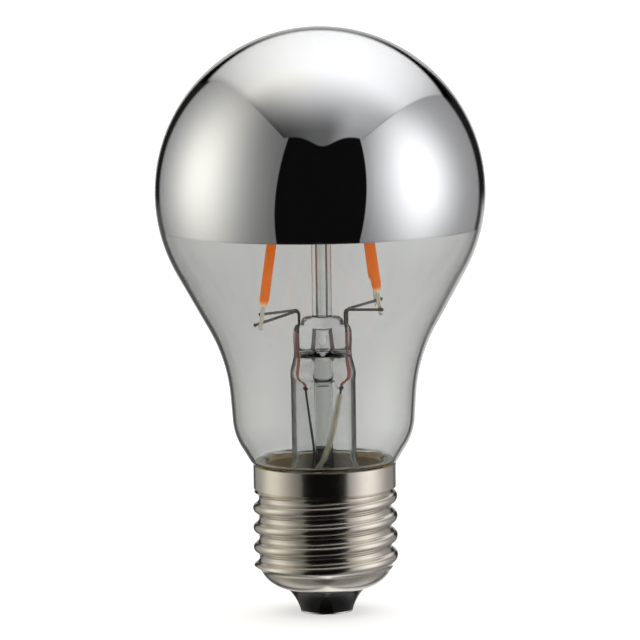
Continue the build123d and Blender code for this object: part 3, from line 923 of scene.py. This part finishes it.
@dataclass(frozen=True)
class Opening:
    """The tent's dark front opening, which leans a little and is wider outside the glass. Degrees."""

    sides: Band = Band((-32.8, -31.8), (32.3, 31.3))
    lean: float = 0.09
    upright: float = -7.0
    widening: float = 0.13
    foot: Fade = (-45.0, -75.0)
    foot_gain: float = 0.12
    dark: float = 0.004

    def over(self, walls: Term, way: Direction) -> Term:
        """Cut the opening into the walls.

        Args:
            walls: Brightness so far.
            way: The ray's direction.

        Returns:
            Brightness with the opening.
        """
        leant = way.bearing - (way.rise - self.upright) * self.lean
        opening = self.sides.mask(leant * (way.inside * self.widening + (1 - self.widening)))
        level = way.rise.fade(*self.foot) * self.foot_gain + self.dark
        return walls * (1 - opening) + opening * level


@dataclass(frozen=True)
class Seams:
    """The tent's dark rear seams and the lit cloth beside them, softer off bare glass. Degrees."""

    left: Band = Band((-169.0, -166.0), (-150.5, -152.5))
    right: Band = Band((146.5, 148.5), (167.5, 164.5))
    depth: float = 0.96
    soft_rise: Fade = (-5.0, -8.0)
    left_loss: float = 0.25
    right_rest: Fade = (161.0, 155.0)
    right_share: float = 0.8
    rear: Fade = (165.0, 169.0)
    rear_gain: float = 0.25
    right_cloth: Fade = (150.0, 168.0)
    right_gain: float = 0.3

    def over(self, walls: Term, way: Direction) -> Term:
        """Sew the seams into the walls.

        Args:
            walls: Brightness so far.
            way: The ray's direction.

        Returns:
            Brightness with the seams.
        """
        soft = way.bare * way.rise.fade(*self.soft_rise)
        rest = 1 - soft * (1 - way.bearing.fade(*self.right_rest) * self.right_share)
        left = self.left.mask(way.bearing) * (1 - soft * self.left_loss)
        right = self.right.mask(way.bearing) * rest
        lit = way.turn.fade(*self.rear) * self.rear_gain
        lit = lit + way.bearing.fade(*self.right_cloth) * soft * self.right_gain
        return (walls + lit) * (1 - (left + right) * self.depth)


@dataclass(frozen=True)
class Roof:
    """The tent's bright roof between two creases. Lengths are in heights of the roof over the lamp."""

    lowest: float = 0.02
    start: Fade = (0.02, 0.06)
    left_place: float = 0.76
    left_slant: float = 0.179
    right_place: float = 1.01
    right_slant: float = 0.255
    side_edge: Fade = (-0.015, 0.015)
    front_place: float = 0.95
    front_bulge: Bell = (0.06, 0.20)
    bulge_depth: float = 0.35
    front_edge: Fade = (-0.03, 0.03)
    rear_edge: Fade = (2.75, 2.5)
    climb: Fade = (46.0, 106.0)
    climb_gain: float = 1.08
    front_level: float = 0.12
    spread: Bell = (0.2, 0.95)
    corner_side: Fade = (0.6, 0.0)
    corner_depth: Fade = (0.3, -0.3)
    corner_loss: float = 0.40
    glow_side: Fade = (0.1, 0.5)
    glow_depth: Fade = (-0.2, -0.7)
    glow_gain: float = 0.2
    left_crease: Bell = (0.0, 0.05)
    left_loss: float = 0.25
    right_crease: Bell = (0.0, 0.015)
    right_loss: float = 0.3
    strip: Band = Band((2.45, 2.75), (5.1, 4.6))
    strip_side: Fade = (0.2, 0.8)
    strip_gain: float = 0.5
    strip_loss: float = 0.46

    def over(self, walls: Term, way: Direction) -> Term:
        """Put the roof over the walls, with a dim strip of wall behind it.

        Args:
            walls: Brightness so far.
            way: The ray's direction.

        Returns:
            Brightness with the roof.
        """
        height = way.z.at_least(self.lowest)
        x = way.x / height
        y = way.y / height
        from_left = x + y * self.left_slant + self.left_place
        from_right = self.right_place + y * self.right_slant - x
        from_front = y + x.hump(*self.front_bulge) * self.bulge_depth + self.front_place
        climb = way.along.fade(*self.climb) * self.climb_gain + self.front_level
        corner = from_left.fade(*self.corner_side) * y.fade(*self.corner_depth) * self.corner_loss
        painted_glow = x.fade(*self.glow_side) * y.fade(*self.glow_depth) * self.glow_gain
        crease = from_left.hump(*self.left_crease) * self.left_loss
        crease = crease + from_right.hump(*self.right_crease) * self.right_loss
        roof = (climb * x.hump(*self.spread) * (1 - corner) + painted_glow) * (1 - crease)
        between = from_left.fade(*self.side_edge) * from_right.fade(*self.side_edge) * way.z.fade(*self.start)
        dim = x.size().fade(*self.strip_side) * self.strip_gain + self.strip_loss
        walls = walls * (1 - between * self.strip.mask(y) * dim)
        cover = between * from_front.fade(*self.front_edge) * y.fade(*self.rear_edge)
        return walls * (1 - cover) + roof * cover


@dataclass(frozen=True)
class LightTent:
    """The white tent round the lamp, as brightness and tint by direction."""

    walls: SideWalls = SideWalls()
    ground: Ground = Ground()
    opening: Opening = Opening()
    seams: Seams = Seams()
    roof: Roof = Roof()
    warm_side: Bell = (-94.0, 40.0)
    plain_tint: Colour = (1.0, 1.0, 1.0)
    warm_tint: Colour = (1.0, 0.985, 0.90)

    def level(self, way: Direction) -> Term:
        """The tent's brightness.

        Args:
            way: The ray's direction.

        Returns:
            Brightness by direction.
        """
        level = self.walls.level(way)
        for cloth in (self.ground, self.opening, self.seams, self.roof):
            level = cloth.over(level, way)
        return level

    def tint(self, graph: Graph, way: Direction) -> Term:
        """The tent's tint, warmer to the left."""
        return graph.blend(way.bearing.hump(*self.warm_side), self.plain_tint, self.warm_tint)


@dataclass
class Studio:
    """The pale floor, the light tent and the camera. Metres, and degrees for the roll."""

    tent: LightTent = LightTent()
    frame: int = 640
    sensor: float = 36.0
    distance: float = 0.900
    eye_height: float = 0.164
    aim_height: float = 0.0536
    aim_side: float = -0.00040
    focal_px: float = 4985.0
    roll: float = -0.95
    clip_end: float = 50.0
    floor_size: float = 6.0
    floor_tone: float = 0.85
    floor_roughness: float = 0.9
    floor_glow: float = 0.45
    mirror_crossings: int = 4
    deep_crossings: int = 6
    backdrop: float = 0.83
    backdrop_edge: Fade = (-0.07, 0.07)
    backdrop_change: float = 0.13
    soft_share: float = 0.5
    soft_level: float = 0.55
    inside_gain: float = 2.2
    inner_loss: float = 0.55

    def camera(self) -> None:
        """Set up the camera at the photograph's viewing angle."""
        lens = bpy.data.cameras.new("camera")
        lens.sensor_width = self.sensor
        lens.lens = self.focal_px * self.sensor / self.frame
        lens.clip_end = self.clip_end
        eye = Vector((self.aim_side, -self.distance, self.eye_height))
        target = Vector((self.aim_side, 0.0, self.aim_height))
        turn = (target - eye).to_track_quat("-Z", "Y").to_matrix()
        camera = bpy.data.objects.new("camera", lens)
        camera.matrix_world = Matrix.Translation(eye) @ (
            turn @ Matrix.Rotation(math.radians(self.roll), 3, "Z")
        ).to_4x4()
        bpy.context.scene.collection.objects.link(camera)
        bpy.context.scene.camera = camera

    def floor(self) -> None:
        """Lay the pale floor, which keeps the lamp's shadow."""
        Bench.clear_selection()
        bpy.ops.mesh.primitive_plane_add(size=self.floor_size)
        floor = bpy.context.active_object
        floor.name = "floor"
        floor.visible_glossy = False
        floor.visible_transmission = False
        made = bpy.data.materials.new("pale floor")
        made.use_nodes = True
        graph = Graph(made.node_tree)
        shader = graph.node(
            "ShaderNodeBsdfPrincipled",
            inputs={
                "Base Color": (self.floor_tone, self.floor_tone, self.floor_tone, 1.0),
                "Roughness": self.floor_roughness,
                "Specular IOR Level": 0.0,
                "Emission Color": (1.0, 1.0, 1.0, 1.0),
                "Emission Strength": graph.ray("Is Camera Ray") * self.floor_glow,
            },
        )
        graph.node("ShaderNodeOutputMaterial", inputs={"Surface": shader})
        floor.data.materials.append(made)

    def world(self) -> None:
        """Light the lamp by the tent, with a backdrop that is white to the camera and pale through glass."""
        world = bpy.data.worlds.new("light tent")
        bpy.context.scene.world = world
        world.use_nodes = True
        graph = Graph(world.node_tree)
        camera = graph.ray("Is Camera Ray")
        crossed = graph.ray("Transmission Depth")
        deep = crossed.more_than(self.deep_crossings)
        mirrored = graph.ray("Glossy Depth").more_than(0) * (1 - deep)
        scattered = graph.ray("Diffuse Depth").more_than(0)
        through = graph.ray("Is Transmission Ray") * (1 - mirrored) * (1 - scattered)
        way = Direction(graph, crossed, self.mirror_crossings)
        tent = self.tent.level(way)
        soft = (tent * self.soft_share + self.soft_level) * (way.inside * self.inside_gain + 1)
        inner = tent * (1 - crossed.more_than(self.mirror_crossings) * self.inner_loss)
        level = inner * (1 - scattered) + soft * scattered
        backdrop = (way.x.fade(*self.backdrop_edge) - 0.5) * self.backdrop_change + self.backdrop
        level = level * (1 - through) + through * backdrop
        level = level * (1 - camera) + camera
        plain = camera.at_least(through)
        colour = graph.blend(plain, self.tent.tint(graph, way), self.tent.plain_tint)
        background = graph.node("ShaderNodeBackground", inputs={"Color": colour, "Strength": level})
        graph.node("ShaderNodeOutputWorld", inputs={"Surface": background})

    def build(self) -> None:
        """Set up the floor, the light and the camera."""
        self.floor()
        self.world()
        self.camera()
        bpy.context.scene.view_settings.view_transform = "Standard"


def main() -> None:
    """Build the lamp's sub-assemblies in order and set up the studio."""
    logging.basicConfig(level=logging.INFO, format="%(name)s: %(message)s")
    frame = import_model()
    bench = Bench(frame["nodes"])
    for assembly in (GlassBulb(), Stem(), LightSource(), ScrewCap(), Driver()):
        assembly.build(bench)
    Studio().build()


if __name__ == "__main__":
    main()
